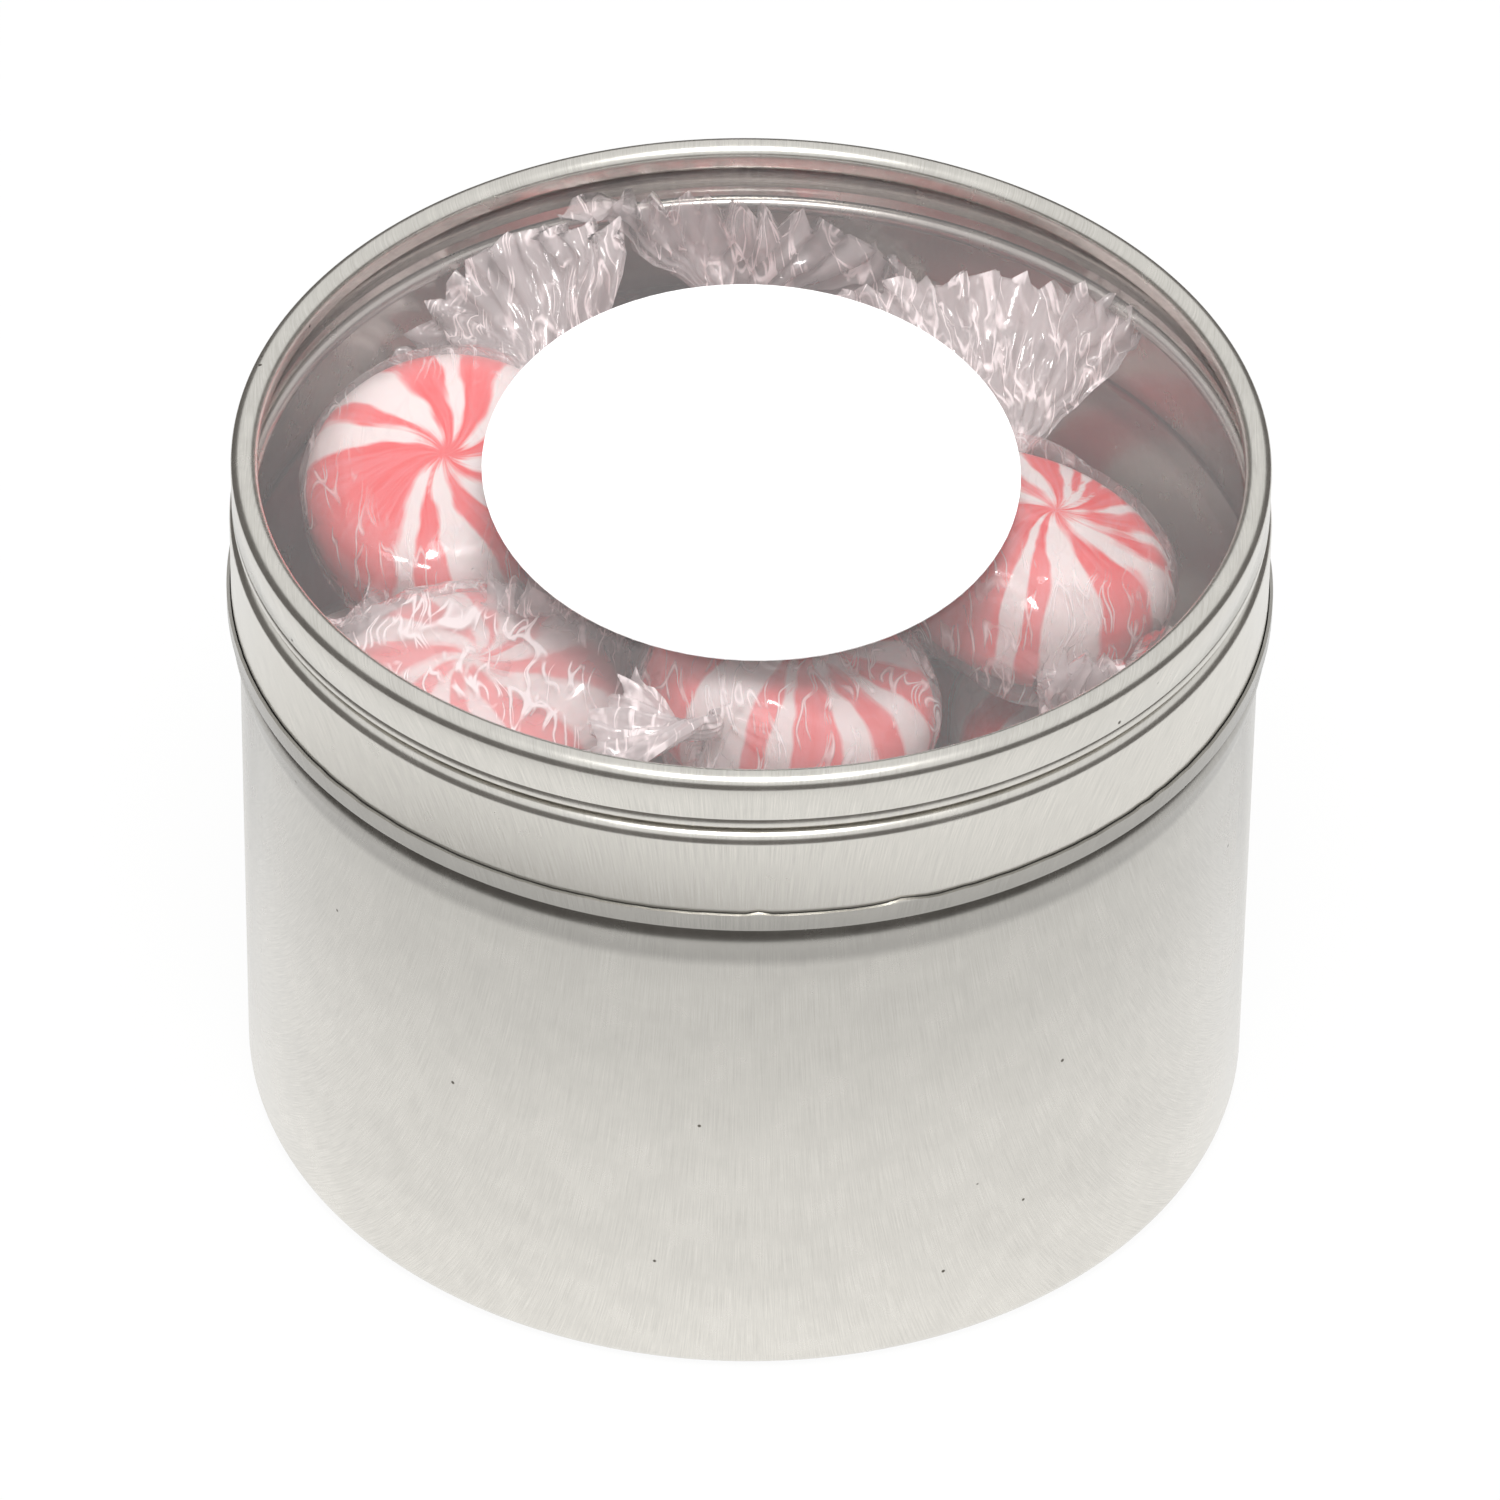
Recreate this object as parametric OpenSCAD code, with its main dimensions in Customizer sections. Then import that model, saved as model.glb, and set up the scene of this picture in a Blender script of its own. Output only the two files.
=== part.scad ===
// Round slip-lid tin with a clear window in the lid, filled with wrapped pinwheel mints.
// Millimetres, +Z up, origin at the centre of the face that the tin stands on.
// The front of the tin, where the label's lower end points, is towards -Y.

/* [Tin cup] */
// Outside diameter of the drawn cup's wall
body_d = 81; // [79:0.1:90]
// Height of the cup's rolled rim above the table
rim_h = 55.55; // [54.5:0.05:70]
// Thickness of the tinplate
sheet_t = 0.25; // [0.2:0.01:0.3]
// Radius of the corner between the wall and the base
base_corner = 1.5; // [0.8:0.1:3]
// Width of the flat ring that the tin stands on
rest_ring = 2; // [1:0.1:4]
// Height of the base panel above the table
panel_rise = 0.6; // [0.3:0.05:1.2]
// Length of the sloping step between the rest ring and the base panel
panel_step = 0.8; // [0.4:0.1:2]
// How far the stop shoulder stands out past the wall
stop_out = 0.6; // [0.5:0.05:0.8]
// Height over which the wall flares out to the stop shoulder's crest
stop_rise = 2.8; // [2:0.1:5]
// Radius of the rounded return from the crest in to the neck
stop_round = 3; // [2:0.1:4]
// Radius of the rim's inward curl
rim_curl = 0.75; // [0.6:0.05:0.9]

/* [Lid ring] */
// Depth of the lid below the top of the cup's rim
lid_cover = 9.05; // [7:0.05:12]
// Gap between the cup's neck and the lid's skirt
slip_gap = 0.2; // [0.1:0.01:0.3]
// Gap above the cup's rim and under the lid's hem when the lid is shut
seat_gap = 0.15; // [0.05:0.01:0.3]
// Height of the raw edge of the folded hem above its fold
hem_h = 1.7; // [1:0.1:2.5]
// Gap between the two layers of the hem
hem_gap = 0.1; // [0.05:0.01:0.2]
// Radius of the shoulder between the skirt and the upper tier
shoulder = 1.05; // [0.8:0.05:1.5]
// Depth of the groove under the upper tier, from the upper tier's wall
groove_in = 0.85; // [0.6:0.05:1.1]
// Height of the groove
groove_h = 0.4; // [0.3:0.05:0.8]
// How far the upper tier stands in from the skirt
tier_in = 0.2; // [0:0.05:0.4]
// Height of the upper tier, from the groove to the top of the bead
tier_h = 4.85; // [4.6:0.05:7]
// Radius of the upper tier's lower edge
tier_edge = 0.35; // [0.3:0.01:0.5]
// Height of the crease that locks the window, above the groove
crease_h = 0.95; // [0.7:0.05:1.3]
// Depth of the crease
crease_in = 0.06; // [0.02:0.01:0.1]
// Radius of the top bead
bead = 1.05; // [0.9:0.05:1.3]
// Depth of the lip under the bead that holds the window down
lip_drop = 2.25; // [2:0.05:2.6]
// Radius of the lip's lower edge
lip_edge = 0.5; // [0.3:0.05:0.6]

/* [Window and label] */
// Thickness of the clear sheet
window_t = 0.35; // [0.2:0.05:0.5]
// Gap round the window's rim and between it and the lip
window_gap = 0.1; // [0.05:0.01:0.15]
// Outer radius of the bend in the window's turned-down rim
window_bend = 0.6; // [0.5:0.05:1]
// Width of the oval label
label_w = 42.4; // [20:0.1:60]
// Depth of the oval label, from front to back
label_d = 47.4; // [20:0.1:60]
// Turn of the oval label
label_turn = 4.6; // [-10:0.1:10]
// Thickness of the label
label_t = 0.12; // [0.05:0.01:0.3]

/* [Mints] */
// Diameter of a mint
mint_d = 23.2; // [18:0.1:23.4]
// Thickness of a mint at its middle
mint_t = 12; // [9:0.1:13]
// Radius of a mint's rounded edge
mint_edge = 3.5; // [2:0.1:4]
// How much lower a mint's face is at its edge than at its middle
mint_crown = 0.4; // [0:0.05:1]
// Gap between a mint and its wrapper
film_gap = 0.1; // [0.05:0.01:0.2]
// Thickness of the wrapper, with its small folds
film_t = 0.15; // [0.1:0.01:0.3]
// Gap between wrapped mints that lie on each other
layer_gap = 0.15; // [0.1:0.01:0.4]
// Gap between the tin's wall and the ring of mints in a layer
ring_gap = 0.6; // [0.3:0.1:2]
// Number of mints in the ring of a layer
ring_count = 6; // [4:1:6]
// Length of a twisted wrapper end
tail_l = 4.6; // [3:0.1:5]
// Radius of a wrapper end's twisted neck
neck_r = 1.2; // [0.6:0.1:1.5]
// Radius of a wrapper end where it fans out
fan_r = 2.3; // [1.5:0.1:2.4]
// Height of a wrapper end above or below the mint's middle
tail_z = 2.5; // [0:0.1:2.5]

/* [Hidden] */
$fn = 96;
body_r = body_d/2;
cup_inner = body_r - sheet_t;
base_top = panel_rise + sheet_t;

// Lid, measured down from the cup's rim and out from its neck
hem_z = rim_h - lid_cover;
stop_r = body_r + stop_out;
skirt_r = stop_r;
neck_out = skirt_r - sheet_t - slip_gap;
stop_top = hem_z - seat_gap;
shoulder_z = rim_h + seat_gap + sheet_t;
tier_z = shoulder_z + groove_h;
tier_r = skirt_r - tier_in;
groove_r = tier_r - groove_in;
lid_top = tier_z + tier_h;
bead_z = lid_top - bead;
bead_r = tier_r - bead;
lip_z = lid_top - lip_drop;
window_z = lip_z - window_gap;
window_r = tier_r - sheet_t - 1.5*window_gap;
window_foot = tier_z + sheet_t + window_gap;
window_under = window_z - window_t;

// Wrapped mint
film = film_gap + film_t;
wrap_r = mint_d/2 + film;
wrap_t = mint_t + 2*film;
layer_pitch = wrap_t + layer_gap;

// Top pile: the left and right mints lie by the wall, the back and front left ones next to the left
// one, and the front one between the front left and right ones
wrap_d = 2*wrap_r;
left_way = 157;
left_at = by_wall(left_way, 2.3);
right_at = by_wall(3.6, 6.3);
back_at = by_wall(left_way - turn_between(left_at, 6, wrap_d + 0.8), 6);
front_left_at = by_wall(left_way + turn_between(left_at, 2.6, wrap_d + 1), 2.6);
front_at = between(front_left_at, wrap_d + 0.9, right_at, wrap_d + 1.3);
// Each as its place in plan, tilt, the way it leans, and the ways its two wrapper ends point
PILE = [
    [left_at, 21, -99, [243, 63]],
    [right_at, 21, 19, [100, 280]],
    [front_at, 21, 10, [235, 110]],
    [front_left_at, 0, 0, [35, 160]],
    [back_at, 0, 0, [90, 270]]
];
tilt_max = max([for (p = PILE) p[1]]);

// Stack: whole layers of mints under the top pile
pile_h = 2*half_height(tilt_max) + 2*layer_gap;
layer_count = floor((window_under - base_top - pile_h)/layer_pitch);
layer_z0 = base_top + layer_gap + wrap_t/2;
pile_z = base_top + layer_gap + layer_count*layer_pitch;
ring_r = cup_inner - wrap_r - ring_gap;
per_layer = ring_count + 1;
pile_count = len(PILE);
mint_count = pile_count + layer_count*per_layer;

// Half the height that a wrapped mint takes up when it is tilted
function half_height(tilt) =
    (wrap_r - mint_edge - film)*sin(tilt) + (mint_t/2 - mint_edge)*cos(tilt) + mint_edge + film;

// Place in plan at a gap from the wall
function wall_r(gap) = cup_inner - wrap_r - gap;
function by_wall(direction, gap) = wall_r(gap)*[cos(direction), sin(direction)];
// Turn about the tin's axis from the mint at p to one at a gap from the wall and a distance d from p
function turn_between(p, gap, d) =
    let (a = norm(p), b = wall_r(gap))
    acos(max((a*a + b*b - d*d)/(2*a*b), -1));
// Place at the distances a from p and b from q, on the right of the way from p to q
function between(p, a, q, b) =
    let (d = norm(q - p), u = (q - p)/d, along = min((a*a + d*d - b*b)/(2*d), a))
    p + along*u + sqrt(a*a - along*along)*[u[1], -u[0]];

// Place of mint i: [position, tilt, lean, directions of the wrapper ends]
function place(i) = i <= pile_count ? pile_place(PILE[i - 1]) : layer_place(i - pile_count - 1);
function pile_place(p) =
    [[p[0][0], p[0][1], pile_z + half_height(p[1])], p[1], p[2], p[3]];
function layer_place(k) =
    let (layer = floor(k/per_layer), slot = k % per_layer, turn = 360/ring_count*slot)
    slot == ring_count
        ? [[0, 0, layer_z0 + layer*layer_pitch], 0, 0, across(180/ring_count)]
        : [[ring_r*cos(turn), ring_r*sin(turn), layer_z0 + layer*layer_pitch], 0, 0, across(turn + 90)];
function across(a) = [a, a + 180];

// Points along an arc about c, from angle a0 to a1
function arc(c, r, a0, a1, n = 8) =
    [for (i = [0:n]) let (a = a0 + (a1 - a0)*i/n) c + r*[cos(a), sin(a)]];

// A path thickened by t on its left side, or on its right side when t is negative
function left_normal(p, q) = [p[1] - q[1], q[0] - p[0]]/norm(q - p);
function shifted(path, i, t) =
    let (
        last = len(path) - 1,
        a = left_normal(path[max(i - 1, 0)], path[max(i, 1)]),
        b = left_normal(path[min(i, last - 1)], path[min(i + 1, last)]),
        m = a + b
    )
    path[i] + m*2*t/(m*m);
function sheet(path, t) =
    concat(path, [for (i = [len(path) - 1:-1:0]) shifted(path, i, t)]);

// Outside of the cup, from the middle of the base to the end of the rim's curl
function cup_path() =
    let (
        step_r = body_r - base_corner - rest_ring,
        crest_r = stop_r - stop_round,
        turn = acos((neck_out - crest_r)/stop_round),
        crest_z = stop_top - stop_round*sin(turn)
    )
    concat(
        [[0, panel_rise], [step_r - panel_step, panel_rise], [step_r, 0]],
        arc([body_r - base_corner, base_corner], base_corner, -90, 0),
        [[body_r, crest_z - stop_rise]],
        arc([crest_r, crest_z], stop_round, 0, turn, 6),
        arc([neck_out - rim_curl, rim_h - rim_curl], rim_curl, 0, 225, 15)
    );

// Visible side of the lid ring, from the end of the lip over the bead and down to the raw edge
function ring_path() =
    let (
        inner_r = bead_r - bead,
        fold = hem_gap/2,
        crease_z = tier_z + crease_h
    )
    concat(
        [[inner_r + 1.6*lip_edge, lip_z]],
        arc([inner_r + lip_edge, lip_z + lip_edge], lip_edge, -90, -180),
        arc([bead_r, bead_z], bead, 180, 0, 16),
        [[tier_r, crease_z + 2*crease_in], [tier_r - crease_in, crease_z], [tier_r, crease_z - 2*crease_in]],
        arc([tier_r - tier_edge, tier_z + tier_edge], tier_edge, 0, -90, 6),
        [[groove_r, tier_z]],
        arc([skirt_r - shoulder, shoulder_z - shoulder], shoulder, groove_angle(), 0),
        arc([skirt_r + fold, hem_z + fold + sheet_t], fold, -180, 0, 6),
        [[skirt_r + hem_gap, hem_z + hem_h]]
    );
// Where the shoulder's arc meets the groove
function groove_angle() = acos(min((groove_r - skirt_r + shoulder)/shoulder, 1));

function window_path() =
    concat(
        [[0, window_z]],
        arc([window_r - window_bend, window_z - window_bend], window_bend, 90, 0),
        [[window_r, window_foot]]
    );

// Half section of a mint grown by g all round
function mint_path(g) =
    let (
        r = mint_d/2 - mint_edge,
        h = mint_t/2 - mint_crown - mint_edge,
        top = concat([[0, mint_t/2 + g], [r*0.55, mint_t/2 - mint_crown*0.3 + g]], arc([r, h], mint_edge + g, 90, 0))
    )
    concat(top, [for (i = [len(top) - 1:-1:0]) [top[i][0], -top[i][1]]]);

module revolve(points) {
    rotate_extrude() polygon(points);
}

module tin_cup() {
    color("silver") revolve(sheet(cup_path(), sheet_t));
}

module lid_ring() {
    color("gainsboro") revolve(sheet(ring_path(), -sheet_t));
}

module window_disc() {
    color("lightcyan", 0.4) revolve(sheet(window_path(), -window_t));
}

module label() {
    color("white") translate([0, 0, window_z]) rotate(label_turn) linear_extrude(label_t)
        polygon([for (a = [0:4:356]) [label_w/2*cos(a), label_d/2*sin(a)]]);
}

module placed(i) {
    p = place(i);
    translate(p[0]) rotate(p[2]) rotate([0, p[1], 0]) rotate(-p[2]) children();
}

module mint(i) {
    color("lightcoral") placed(i) revolve(mint_path(0));
}

// One end of a wrapper, twisted into a neck and then fanned out
module wrapper_end() {
    neck_l = tail_l/3;
    rotate([0, 90, 0]) {
        cylinder(h = neck_l, r = neck_r);
        translate([0, 0, neck_l]) cylinder(h = tail_l - neck_l, r1 = neck_r, r2 = fan_r);
    }
}

module wrapper(i) {
    start = mint_d/2 + film_gap + film_t/2;
    ends = place(i)[3];
    color("whitesmoke", 0.4) placed(i) {
        difference() {
            revolve(mint_path(film));
            revolve(mint_path(film_gap));
        }
        rotate(ends[0]) translate([start, 0, tail_z]) wrapper_end();
        rotate(ends[1]) translate([start, 0, -tail_z]) wrapper_end();
    }
}

tin_cup();
lid_ring();
window_disc();
label();
for (i = [1:mint_count]) mint(i);
for (i = [1:mint_count]) wrapper(i);
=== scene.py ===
# Looks for the round slip-lid tin with a window in its lid, filled with wrapped pinwheel mints.
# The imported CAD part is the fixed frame. Metres, with the front of the tin towards -Y.
# Sizes in the dictionaries are in millimetres and angles in degrees, unless a note says otherwise.
import math
import random

import bpy
from mathutils import Matrix, Vector, noise


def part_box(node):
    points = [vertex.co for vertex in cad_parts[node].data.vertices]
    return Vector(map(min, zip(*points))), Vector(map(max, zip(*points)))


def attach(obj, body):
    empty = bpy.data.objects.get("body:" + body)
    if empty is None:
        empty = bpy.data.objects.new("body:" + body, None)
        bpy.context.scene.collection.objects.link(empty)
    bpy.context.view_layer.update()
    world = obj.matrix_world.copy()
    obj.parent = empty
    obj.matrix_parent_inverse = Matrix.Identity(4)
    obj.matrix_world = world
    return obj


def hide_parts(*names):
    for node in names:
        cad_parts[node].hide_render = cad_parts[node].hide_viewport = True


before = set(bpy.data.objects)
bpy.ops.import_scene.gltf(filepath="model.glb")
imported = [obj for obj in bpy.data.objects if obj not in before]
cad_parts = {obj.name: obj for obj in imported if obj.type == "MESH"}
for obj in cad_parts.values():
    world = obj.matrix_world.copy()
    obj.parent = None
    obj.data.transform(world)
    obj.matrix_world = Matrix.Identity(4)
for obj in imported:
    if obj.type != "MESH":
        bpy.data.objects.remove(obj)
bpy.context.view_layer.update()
mm = 0.001
noise.seed_set(4)  # noise_vector is seeded by the clock otherwise
print("frame loaded")


def linear(colour):  # sRGB hex to linear light
    values = [int(colour[i:i + 2], 16) / 255 for i in (1, 3, 5)]
    return [v / 12.92 if v <= 0.04045 else ((v + 0.055) / 1.055) ** 2.4 for v in values] + [1]


def addNode(tree, kind, links=None, **settings):
    # links holds a value or another node's output for each socket
    node = tree.nodes.new("ShaderNode" + kind)
    for name, value in settings.items():
        setattr(node, name, value)
    for socket, value in (links or {}).items():
        if isinstance(value, bpy.types.NodeSocket):
            tree.links.new(value, node.inputs[socket])
        else:
            node.inputs[socket].default_value = value
    return node


def newMaterial(name):
    material = bpy.data.materials.new(name)
    material.use_nodes = True
    material.node_tree.nodes.clear()
    return material, material.node_tree


def dress(piece, material):
    piece.data.materials.clear()
    piece.data.materials.append(material)


def arc(centre, radius, start, end, count=10):
    angles = [math.radians(start + (end - start) * i / count) for i in range(count + 1)]
    return [(centre[0] + radius * math.cos(a), centre[1] + radius * math.sin(a)) for a in angles]


# Camera and studio

camera = {
    "target": (0, 0, 30.375),
    "elevation": 39.91,
    "distance": 938.4,
    "lens": 280.75,
    "sensor": 36,
    "clip": (50, 20000),
    "aimRight": 0.187,
    "aimDown": 0.227,
    "roll": 0.01288,  # radians
}
studio = {
    "lamps": {
        "softbox": {
            "elevation": 66, "turn": 0, "distance": 700, "size": (320, 280), "radiance": 3.1},
        "inner_lamp": {
            "elevation": 67, "turn": 4, "distance": 690, "size": (160, 150), "radiance": 24},
    },
    "sky": 0.85,
    "table": {"size": 4000, "colour": "#f4f3f1", "shadow": 0.06},
    "room": {"start": 138, "aside": 16, "lift": 0.3, "end": 900, "top": 330, "sides": 64,
             "shade": "#5a5653"},
}


def makeCamera():
    e = math.radians(camera["elevation"])
    right, back = Vector((1, 0, 0)), Vector((0, -math.cos(e), math.sin(e)))
    up = back.cross(right)
    place = (Vector(camera["target"]) + back * camera["distance"]
             + right * camera["aimRight"] - up * camera["aimDown"]) * mm
    c, s = math.cos(camera["roll"]), math.sin(camera["roll"])
    x, y = right * c + up * s, up * c - right * s
    data = bpy.data.cameras.new("camera")
    data.lens, data.sensor_width = camera["lens"], camera["sensor"]
    data.clip_start, data.clip_end = [limit * mm for limit in camera["clip"]]
    view = bpy.data.objects.new("camera", data)
    view.matrix_world = Matrix.Translation(place) @ Matrix((x, y, back)).transposed().to_4x4()
    bpy.context.scene.collection.objects.link(view)
    bpy.context.scene.camera = view


def makeLamps():
    for name, key in studio["lamps"].items():
        e, t = math.radians(key["elevation"]), math.radians(key["turn"])
        towards = Vector((math.sin(t) * math.cos(e), -math.cos(t) * math.cos(e), math.sin(e)))
        data = bpy.data.lights.new(name, "AREA")
        data.shape = "RECTANGLE"
        data.size, data.size_y = key["size"][0] * mm, key["size"][1] * mm
        data.energy = key["radiance"] * math.pi * data.size * data.size_y
        lamp = bpy.data.objects.new(name, data)
        lamp.location = towards * key["distance"] * mm
        lamp.rotation_mode = "QUATERNION"
        lamp.rotation_quaternion = towards.to_track_quat("Z", "Y")
        bpy.context.scene.collection.objects.link(lamp)


def makeSky():
    # It lights softly and shows white to the camera
    world = bpy.data.worlds.new("studio")
    bpy.context.scene.world = world
    world.use_nodes = True
    tree = world.node_tree
    tree.nodes.clear()
    path = addNode(tree, "LightPath")
    seen = addNode(tree, "MapRange", {
        "Value": path.outputs["Is Camera Ray"], "To Min": studio["sky"], "To Max": 1})
    sky = addNode(tree, "Background", {"Color": (1, 1, 1, 1), "Strength": seen.outputs[0]})
    addNode(tree, "OutputWorld", {"Surface": sky.outputs[0]})


def makeTable():
    # White table top that keeps a faint shadow
    table = studio["table"]
    bpy.ops.object.select_all(action="DESELECT")
    bpy.ops.mesh.primitive_plane_add(size=table["size"] * mm)
    floor = bpy.context.object
    floor.name = "floor"
    material, tree = newMaterial("white_table")
    path = addNode(tree, "LightPath")
    some = addNode(tree, "Math", {
        0: path.outputs["Is Camera Ray"], 1: path.outputs["Is Glossy Ray"]}, operation="MAXIMUM")
    every = addNode(tree, "Math", {
        0: some.outputs[0], 1: path.outputs["Is Transmission Ray"]}, operation="MAXIMUM")
    share = addNode(tree, "Math", {
        0: every.outputs[0], 1: 1 - table["shadow"]}, operation="MULTIPLY")
    matt = addNode(tree, "BsdfDiffuse", {"Color": linear(table["colour"])})
    glow = addNode(tree, "Emission", {"Color": (1, 1, 1, 1), "Strength": 1})
    mixed = addNode(tree, "MixShader", {
        "Fac": share.outputs[0], 1: matt.outputs[0], 2: glow.outputs[0]})
    addNode(tree, "OutputMaterial", {"Surface": mixed.outputs[0]})
    floor.data.materials.append(material)


def makeRoom():
    # Dark room past the table, which only mirrors show
    room = studio["room"]
    bpy.ops.object.select_all(action="DESELECT")
    bpy.ops.mesh.primitive_circle_add(
        vertices=room["sides"], radius=room["start"] * mm,
        location=(room["aside"] * mm, 0, room["lift"] * mm))
    surround = bpy.context.object
    surround.name = "room"
    bpy.ops.object.mode_set(mode="EDIT")
    bpy.ops.mesh.select_all(action="SELECT")
    wide = room["end"] / room["start"]
    bpy.ops.mesh.extrude_edges_move(TRANSFORM_OT_translate={"value": (0, 0, 0)})
    bpy.ops.transform.resize(value=(wide, wide, 1), center_override=(0, 0, 0))
    bpy.ops.mesh.extrude_edges_move(TRANSFORM_OT_translate={"value": (0, 0, room["top"] * mm)})
    bpy.ops.object.mode_set(mode="OBJECT")
    bpy.ops.object.transform_apply(location=True, rotation=True, scale=True)
    material, tree = newMaterial("dark_room")
    glow = addNode(tree, "Emission", {"Color": linear(room["shade"]), "Strength": 1})
    addNode(tree, "OutputMaterial", {"Surface": glow.outputs[0]})
    surround.data.materials.append(material)
    surround.visible_camera = surround.visible_diffuse = surround.visible_shadow = False
    surround.visible_transmission = False


makeCamera()
makeLamps()
makeSky()
makeTable()
makeRoom()
bpy.context.scene.view_settings.view_transform = "Standard"
print("camera and studio made")


# Tinplate pieces, spun from their profiles

lathe = {"weld": 0.005, "smoothAngle": 32}


def spun(name, profile, steps, thickness=None):
    # The profile is drawn from a single vertex and spun, then given the sheet's thickness
    bpy.ops.object.select_all(action="DESELECT")
    start = Vector((profile[0][0], 0, profile[0][1])) * mm
    bpy.ops.mesh.primitive_plane_add(size=mm, location=start)
    piece = bpy.context.object
    piece.name = piece.data.name = name
    bpy.ops.object.mode_set(mode="EDIT")
    bpy.ops.mesh.select_all(action="SELECT")
    bpy.ops.mesh.merge(type="CENTER")
    for a, b in zip(profile, profile[1:]):
        step = ((b[0] - a[0]) * mm, 0, (b[1] - a[1]) * mm)
        bpy.ops.mesh.extrude_region_move(TRANSFORM_OT_translate={"value": step})
    bpy.ops.mesh.select_all(action="SELECT")
    bpy.ops.mesh.spin(steps=steps, angle=math.tau, center=(0, 0, 0), axis=(0, 0, 1))
    bpy.ops.mesh.select_all(action="SELECT")
    bpy.ops.mesh.remove_doubles(threshold=lathe["weld"] * mm)
    bpy.ops.mesh.normals_make_consistent(inside=False)
    bpy.ops.object.mode_set(mode="OBJECT")
    bpy.ops.object.transform_apply(location=True, rotation=True, scale=True)
    # The largest upright face has to look away from the axis
    test = max(piece.data.polygons, key=lambda f: abs(f.normal.z) < 0.1 and f.area)
    if test.normal.dot(Vector((test.center.x, test.center.y, 0))) < 0:
        piece.data.flip_normals()
    if thickness:
        wall = piece.modifiers.new("wall", "SOLIDIFY")
        wall.thickness, wall.offset, wall.use_even_offset = thickness * mm, -1, True
        bpy.ops.object.modifier_apply(modifier="wall")
    bpy.ops.object.shade_smooth_by_angle(angle=math.radians(lathe["smoothAngle"]))
    return piece


cup = {
    "radius": 40.5, "corner": 1.5, "restRing": 2, "panelRise": 0.6, "panelStep": 0.8,
    "scribe": 42.0, "crest": 44.8, "crestRadius": 41.1, "crestRound": 3.0,
    "neckRadius": 40.65, "neckFoot": 46.35, "rim": 55.55, "curl": 0.75, "curlTurn": 225,
    "sheet": 0.25, "steps": 240, "roughness": 0.25,
    # painted shade by height: darker up the body and under the lid's hem, and at the rim curl
    "paintedShade": ((0, 1), (16, 0.9), (39, 0.74), (41.8, 0.7), (43.4, 0.5), (46.2, 0.56), (48, 1.0),
              (53.5, 1.0), (55, 0.65)),
}
lid = {
    "skirtRadius": 41.1, "hem": 46.5, "hemTop": 48.2, "hemGap": 0.1, "sheet": 0.25,
    "shoulder": 1.05, "shoulderTop": 55.95, "grooveRadius": 40.05, "tier": 56.35,
    "tierRadius": 40.9, "tierEdge": 0.35, "crease": 57.3, "creaseIn": 0.03, "top": 61.2,
    "bead": 1.05, "lip": 58.95, "lipEdge": 0.5, "steps": 256, "roughness": 0.24,
    # painted shade by height: the hem darkest, the skirt and the tier a little darker
    "paintedShade": ((46.4, 0.48), (48.1, 0.53), (48.6, 0.95), (55.5, 0.95), (56.5, 0.92)),
    # the hem's raw edge: height and spacing of each waver, and place, width and height of each burr
    "rawEdge": -0.06, "wavers": ((0.09, 0.7, 3), (0.06, 2.3, 9)),
    "burrs": ((-88.5, 0.6, 0.25), (-73, 1.6, 0.3)),
}


def makeCup():
    c = cup
    step = c["radius"] - c["corner"] - c["restRing"]
    turn = math.degrees(math.asin((c["neckFoot"] - c["crest"]) / c["crestRound"]))
    profile = [(0, c["panelRise"]), (step - c["panelStep"], c["panelRise"]), (step, 0)]
    profile += arc((c["radius"] - c["corner"], c["corner"]), c["corner"], -90, 0)
    profile += [(c["radius"], c["scribe"])]
    profile += arc((c["crestRadius"] - c["crestRound"], c["crest"]), c["crestRound"], -4, turn, 8)
    profile += [(c["neckRadius"], c["neckFoot"] + 0.1)]
    curl = (c["neckRadius"] - c["curl"], c["rim"] - c["curl"])
    profile += arc(curl, c["curl"], 0, c["curlTurn"], 14)
    return spun("drawn_cup", profile, c["steps"], c["sheet"])


def makeLidRing():
    d = lid
    inner = d["tierRadius"] - 2 * d["bead"]
    fold = d["hemGap"] / 2
    edge, dent, turn = d["tierEdge"], d["creaseIn"], d["shoulder"]
    profile = [(inner + 1.6 * d["lipEdge"], d["lip"])]
    profile += arc((inner + d["lipEdge"], d["lip"] + d["lipEdge"]), d["lipEdge"], -90, -180)
    profile += arc((inner + d["bead"], d["top"] - d["bead"]), d["bead"], 180, 0, 28)
    profile += [(d["tierRadius"], d["crease"] + 2 * dent), (d["tierRadius"] - dent, d["crease"]),
                (d["tierRadius"], d["crease"] - 2 * dent)]
    profile += arc((d["tierRadius"] - edge, d["tier"] + edge), edge, 0, -90, 8)
    profile += [(d["grooveRadius"], d["tier"])]
    profile += arc((d["skirtRadius"] - turn, d["shoulderTop"] - turn), turn, 90, 0, 14)
    profile += arc((d["skirtRadius"] + fold, d["hem"] + fold + d["sheet"]), fold, -180, 0, 6)
    profile += [(d["skirtRadius"] + d["hemGap"], d["hemTop"])]
    ring = spun("lid_seam_ring", profile, d["steps"], d["sheet"])
    for v in ring.data.vertices:
        radius = math.hypot(v.co.x, v.co.y) / mm
        if radius > d["skirtRadius"] + 0.05 and v.co.z / mm > d["hemTop"] - 0.2:
            at = math.degrees(math.atan2(v.co.y, v.co.x))
            rise = d["rawEdge"]
            for height, often, seed in d["wavers"]:
                rise += height * noise.noise(Vector((at * often, seed, 0)))
            for place, width, height in d["burrs"]:
                rise += height * math.exp(-((at - place) / width) ** 2)
            v.co.z += rise * mm
    return ring


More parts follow.
